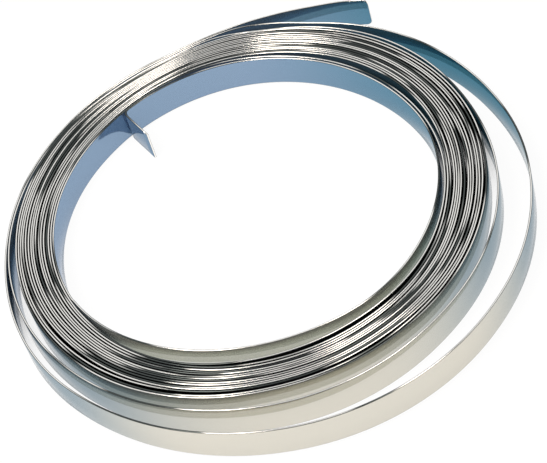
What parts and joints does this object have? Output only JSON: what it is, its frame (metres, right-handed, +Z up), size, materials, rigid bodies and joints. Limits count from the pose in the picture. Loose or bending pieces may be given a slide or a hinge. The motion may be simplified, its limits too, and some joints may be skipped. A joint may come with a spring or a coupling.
{
  "type": "steel strip coil",
  "caption": "Coil of narrow bright stainless steel strip lying flat, with an open bore, a loose free end and a bent inner end.",
  "frame": {"origin": "on the level the coil lies on, under the middle of its outline", "axes": "+Z up along the axis of the bore; X and Y lie in the plane of the coil, the free outer end points towards +X and +Y"},
  "size_m": [0.1878, 0.1906, 0.0127],
  "materials": {
    "bright_strip": "bright cold-rolled stainless"
  },
  "bodies": {
    "root": {"steel_strip": "bright_strip"}
  },
  "joints": []
}
